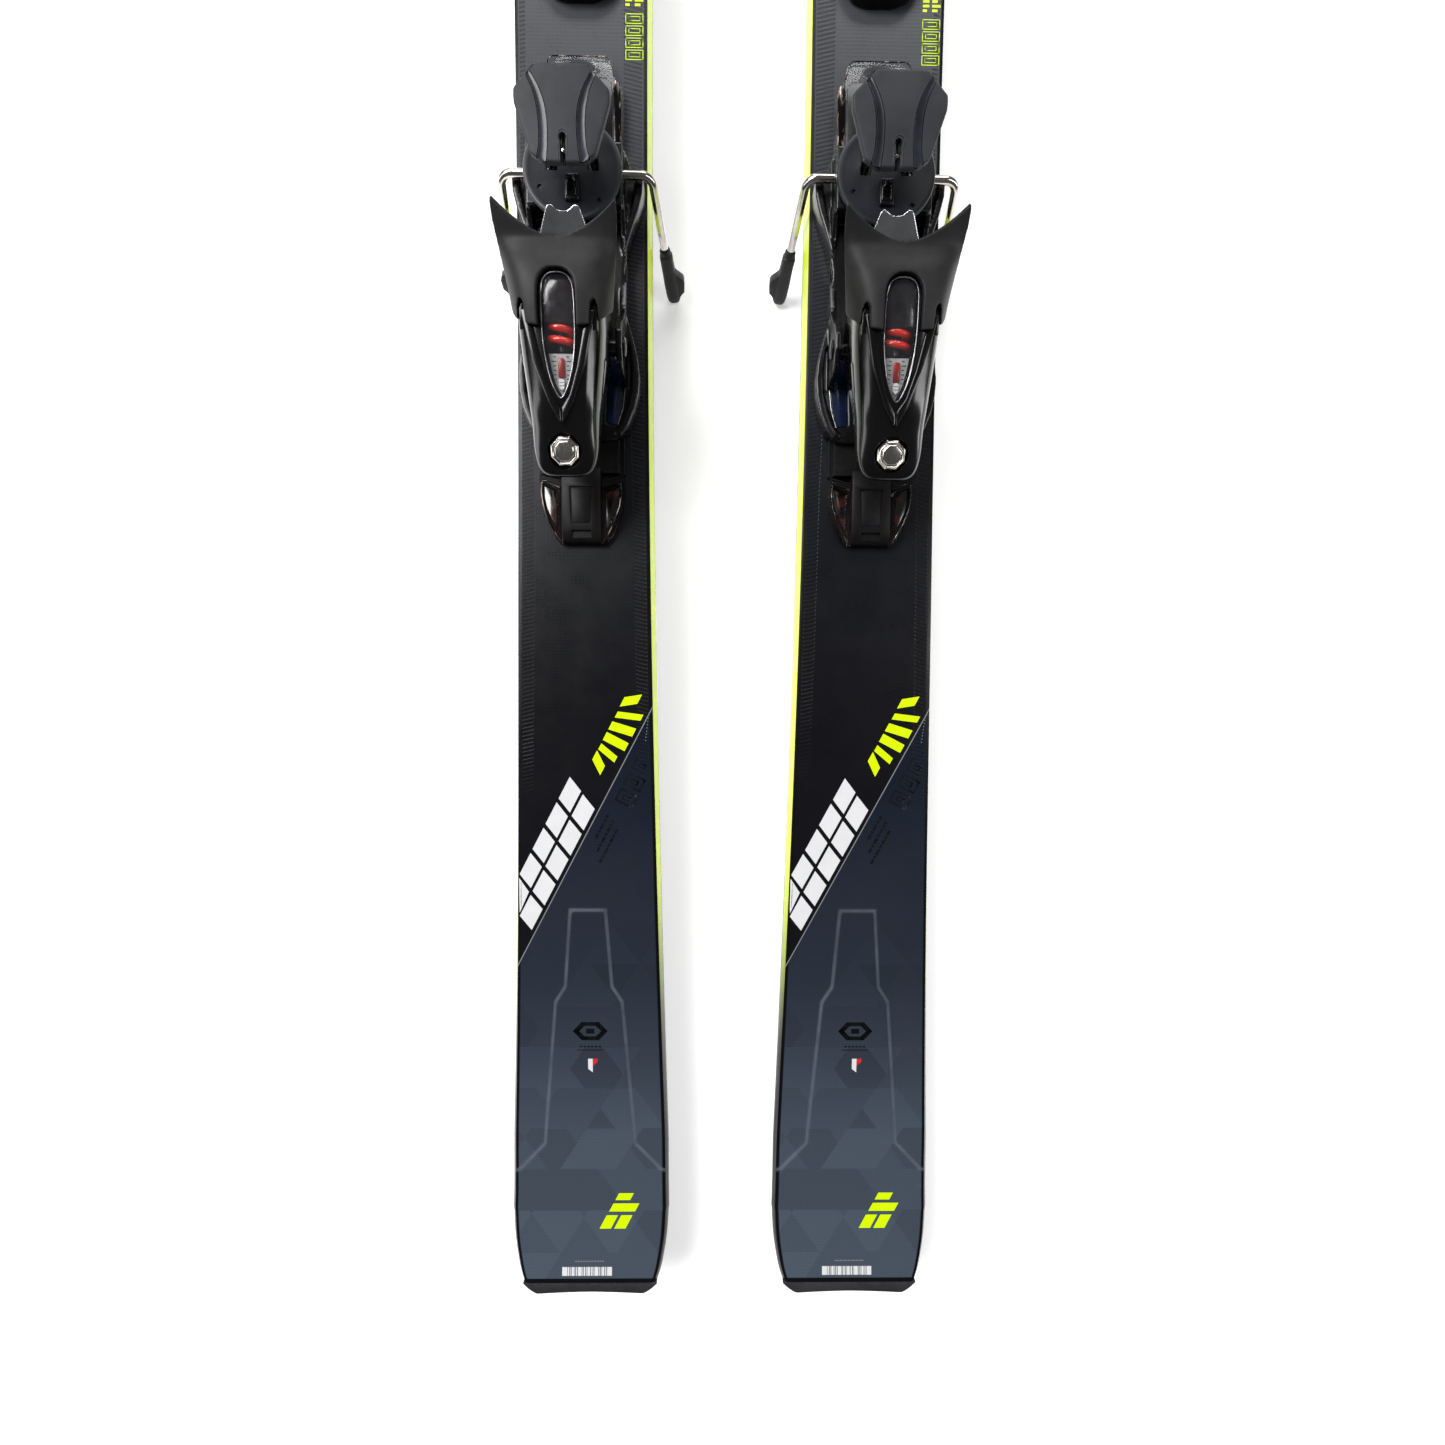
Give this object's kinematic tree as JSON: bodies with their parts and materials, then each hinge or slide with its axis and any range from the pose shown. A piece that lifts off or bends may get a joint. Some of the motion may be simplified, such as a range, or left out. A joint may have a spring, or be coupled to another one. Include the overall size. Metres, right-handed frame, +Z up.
{
  "type": "alpine skis with bindings",
  "caption": "Alpine skis with waisted outlines and turned-up shovels, carrying toe pieces and open step-in heel pieces on tracks, with sprung wire brakes standing down.",
  "frame": {"origin": "under the middle of the pair, half way along the skis, level with the ends of the brake arms, which are the lowest points", "axes": "+Z up, +Y from the tails to the tips, +X towards the right-hand ski"},
  "size_m": [0.3134, 1.85, 0.1451],
  "materials": {
    "base_polyethylene": "satin",
    "edge_steel": "satin",
    "core_wood": "matte",
    "sidewall_yellow": "satin",
    "topsheet_slate": "satin",
    "protector_black": "satin",
    "track_black": "satin",
    "clear_plastic": "clear gloss",
    "carriage_black": "gloss",
    "matte_black": "fine texture",
    "gloss_black": "high gloss",
    "satin_grey": "satin",
    "chrome": "polished",
    "wire_steel": "bright",
    "spring_red": "gloss",
    "indicator_white": "satin",
    "sliding_pad": "satin"
  },
  "bodies": {
    "left_ski": {"left_base": "base_polyethylene", "left_steel_edge": "edge_steel", "left_sidewall": "sidewall_yellow", "left_core": "core_wood", "left_topsheet": "topsheet_slate", "left_tail_protector": "protector_black", "left_heel_track": "track_black", "left_heel_track_rear_cap": "clear_plastic", "left_heel_track_front_cap": "clear_plastic", "left_toe_base": "track_black", "left_sole_pad": "sliding_pad", "left_toe_housing": "gloss_black"},
    "left_heel": {"left_heel_carriage": "carriage_black", "left_brake_plate": "satin_grey", "left_heel_pivot_pin": "chrome"},
    "left_heel_lever": {"left_heel_housing": "gloss_black", "left_heel_cup": "matte_black", "left_heel_window": "clear_plastic", "left_heel_spring": "spring_red", "left_heel_tread": "chrome"},
    "left_heel_screw_turning": {"left_heel_screw": "chrome"},
    "left_heel_indicator_moving": {"left_heel_indicator": "indicator_white"},
    "left_brake": {"left_brake_arm_inner": "wire_steel", "left_brake_arm_outer": "wire_steel", "left_brake_tip_inner": "matte_black", "left_brake_tip_outer": "matte_black"},
    "left_brake_pedal_moving": {"left_brake_pedal": "matte_black"},
    "left_toe_wing_inner_moving": {"left_toe_wing_inner": "matte_black"},
    "left_toe_wing_outer_moving": {"left_toe_wing_outer": "matte_black"},
    "left_toe_screw_turning": {"left_toe_screw": "chrome"},
    "right_ski": {"right_base": "base_polyethylene", "right_steel_edge": "edge_steel", "right_sidewall": "sidewall_yellow", "right_core": "core_wood", "right_topsheet": "topsheet_slate", "right_tail_protector": "protector_black", "right_heel_track": "track_black", "right_heel_track_rear_cap": "clear_plastic", "right_heel_track_front_cap": "clear_plastic", "right_toe_base": "track_black", "right_sole_pad": "sliding_pad", "right_toe_housing": "gloss_black"},
    "right_heel": {"right_heel_carriage": "carriage_black", "right_brake_plate": "satin_grey", "right_heel_pivot_pin": "chrome"},
    "right_heel_lever": {"right_heel_housing": "gloss_black", "right_heel_cup": "matte_black", "right_heel_window": "clear_plastic", "right_heel_spring": "spring_red", "right_heel_tread": "chrome"},
    "right_heel_screw_turning": {"right_heel_screw": "chrome"},
    "right_heel_indicator_moving": {"right_heel_indicator": "indicator_white"},
    "right_brake": {"right_brake_arm_inner": "wire_steel", "right_brake_arm_outer": "wire_steel", "right_brake_tip_inner": "matte_black", "right_brake_tip_outer": "matte_black"},
    "right_brake_pedal_moving": {"right_brake_pedal": "matte_black"},
    "right_toe_wing_inner_moving": {"right_toe_wing_inner": "matte_black"},
    "right_toe_wing_outer_moving": {"right_toe_wing_outer": "matte_black"},
    "right_toe_screw_turning": {"right_toe_screw": "chrome"}
  },
  "joints": [
    {"name": "left_heel_slide", "type": "slide", "parent": "left_ski", "child": "left_heel", "axis": [0, 1, 0], "range_m": [-0.02, 0.02]},
    {"name": "left_heel_step_in", "type": "hinge", "parent": "left_heel", "child": "left_heel_lever", "pos_m": [-0.092, -0.291, 0.0869], "axis": [-1, 0, 0], "range_deg": [0, 35]},
    {"name": "left_heel_screw_turn", "type": "hinge", "parent": "left_heel_lever", "child": "left_heel_screw_turning", "pos_m": [-0.092, -0.361, 0.1179], "axis": [0, -0.309, 0.9511], "range_deg": [-480, 1440]},
    {"name": "left_heel_indicator_slide", "type": "slide", "parent": "left_heel_lever", "child": "left_heel_indicator_moving", "axis": [0, 0.9856, 0.1692], "range_m": [-0.0021, 0.0061]},
    {"name": "left_brake_press", "type": "hinge", "parent": "left_heel", "child": "left_brake", "pos_m": [-0.092, -0.1875, 0.0779], "axis": [-1, 0, 0], "range_deg": [0, 54], "stiffness_Nm_per_rad": 2.5, "springref_deg": -80.21},
    {"name": "left_brake_pedal_tilt", "type": "hinge", "parent": "left_brake", "child": "left_brake_pedal_moving", "pos_m": [-0.092, -0.1782, 0.11147], "axis": [-1, 0, 0], "range_deg": [-46.5, 0.5]},
    {"name": "left_toe_wing_inner_release", "type": "hinge", "parent": "left_ski", "child": "left_toe_wing_inner_moving", "pos_m": [-0.073, 0.081, 0.0869], "axis": [0, 0, 1], "range_deg": [0, 35], "stiffness_Nm_per_rad": 8, "springref_deg": -20.05},
    {"name": "left_toe_wing_outer_release", "type": "hinge", "parent": "left_ski", "child": "left_toe_wing_outer_moving", "pos_m": [-0.111, 0.081, 0.0869], "axis": [0, 0, -1], "range_deg": [0, 35], "stiffness_Nm_per_rad": 8, "springref_deg": -20.05},
    {"name": "left_toe_screw_turn", "type": "hinge", "parent": "left_ski", "child": "left_toe_screw_turning", "pos_m": [-0.092, 0.1436, 0.0899], "axis": [0, 1, 0], "range_deg": [-720, 720]},
    {"name": "pair_spacing", "type": "slide", "parent": "left_ski", "child": "right_ski", "axis": [1, 0, 0], "range_m": [-0.04, 0.1]},
    {"name": "right_heel_slide", "type": "slide", "parent": "right_ski", "child": "right_heel", "axis": [0, 1, 0], "range_m": [-0.02, 0.02]},
    {"name": "right_heel_step_in", "type": "hinge", "parent": "right_heel", "child": "right_heel_lever", "pos_m": [0.092, -0.291, 0.0869], "axis": [-1, 0, 0], "range_deg": [0, 35]},
    {"name": "right_heel_screw_turn", "type": "hinge", "parent": "right_heel_lever", "child": "right_heel_screw_turning", "pos_m": [0.092, -0.361, 0.1179], "axis": [0, -0.309, 0.9511], "range_deg": [-480, 1440]},
    {"name": "right_heel_indicator_slide", "type": "slide", "parent": "right_heel_lever", "child": "right_heel_indicator_moving", "axis": [0, 0.9856, 0.1692], "range_m": [-0.0021, 0.0061]},
    {"name": "right_brake_press", "type": "hinge", "parent": "right_heel", "child": "right_brake", "pos_m": [0.092, -0.1875, 0.0779], "axis": [-1, 0, 0], "range_deg": [0, 54], "stiffness_Nm_per_rad": 2.5, "springref_deg": -80.21},
    {"name": "right_brake_pedal_tilt", "type": "hinge", "parent": "right_brake", "child": "right_brake_pedal_moving", "pos_m": [0.092, -0.1782, 0.11147], "axis": [-1, 0, 0], "range_deg": [-46.5, 0.5]},
    {"name": "right_toe_wing_inner_release", "type": "hinge", "parent": "right_ski", "child": "right_toe_wing_inner_moving", "pos_m": [0.073, 0.081, 0.0869], "axis": [0, 0, -1], "range_deg": [0, 35], "stiffness_Nm_per_rad": 8, "springref_deg": -20.05},
    {"name": "right_toe_wing_outer_release", "type": "hinge", "parent": "right_ski", "child": "right_toe_wing_outer_moving", "pos_m": [0.111, 0.081, 0.0869], "axis": [0, 0, 1], "range_deg": [0, 35], "stiffness_Nm_per_rad": 8, "springref_deg": -20.05},
    {"name": "right_toe_screw_turn", "type": "hinge", "parent": "right_ski", "child": "right_toe_screw_turning", "pos_m": [0.092, 0.1436, 0.0899], "axis": [0, 1, 0], "range_deg": [-720, 720]}
  ],
  "couplings": [
    {"joint": "left_heel_indicator_slide", "follows": "left_heel_screw_turn", "m_per_rad": 0.00023873},
    {"joint": "left_brake_pedal_tilt", "follows": "left_brake_press", "ratio": -0.85185},
    {"joint": "right_heel_indicator_slide", "follows": "right_heel_screw_turn", "m_per_rad": 0.00023873},
    {"joint": "right_brake_pedal_tilt", "follows": "right_brake_press", "ratio": -0.85185}
  ]
}
